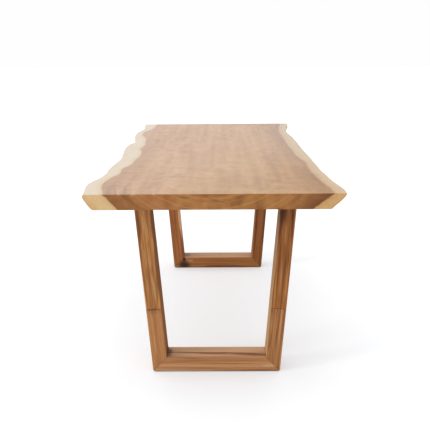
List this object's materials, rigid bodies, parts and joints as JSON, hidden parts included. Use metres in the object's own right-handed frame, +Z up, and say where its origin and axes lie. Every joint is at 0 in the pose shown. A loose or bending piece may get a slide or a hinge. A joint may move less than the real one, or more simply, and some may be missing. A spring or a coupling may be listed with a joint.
{
  "type": "live edge dining table",
  "caption": "Dining table: a thick wood slab with natural live edges, bolted to closed trapezoid timber frames with mitred corners.",
  "frame": {"origin": "on the floor, under the middle of the slab's widest outline", "axes": "+Z up, +Y along the length of the table towards its rear end, +X across it to the right as seen from the front end"},
  "size_m": [0.8513, 1.8, 0.76],
  "materials": {
    "slab_wood": "satin clear lacquer over mid-brown heartwood with pale sapwood along both live edges",
    "frame_wood": "satin clear lacquer over streaky mid-brown timber",
    "joinery_wood": "plain machined hardwood, unfinished",
    "bolt_steel": "zinc plated",
    "washer_steel": "zinc plated",
    "insert_brass": "plain turned brass",
    "glide_plastic": "dark brown matt nylon",
    "nail_steel": "plain bright steel"
  },
  "bodies": {
    "root": {"slab_top": "slab_wood", "front_foot_rail": "frame_wood", "front_top_rail": "frame_wood", "front_left_leg_lower": "frame_wood", "front_left_leg_upper": "frame_wood", "front_right_leg_lower": "frame_wood", "front_right_leg_upper": "frame_wood", "front_mitre_tenons": "joinery_wood", "front_splice_dowels": "joinery_wood", "front_top_rail_bolts": "bolt_steel", "front_top_rail_washers": "washer_steel", "front_threaded_inserts": "insert_brass", "front_glides": "glide_plastic", "front_glide_nails": "nail_steel", "rear_foot_rail": "frame_wood", "rear_top_rail": "frame_wood", "rear_left_leg_lower": "frame_wood", "rear_left_leg_upper": "frame_wood", "rear_right_leg_lower": "frame_wood", "rear_right_leg_upper": "frame_wood", "rear_mitre_tenons": "joinery_wood", "rear_splice_dowels": "joinery_wood", "rear_top_rail_bolts": "bolt_steel", "rear_top_rail_washers": "washer_steel", "rear_threaded_inserts": "insert_brass", "rear_glides": "glide_plastic", "rear_glide_nails": "nail_steel"}
  },
  "joints": []
}
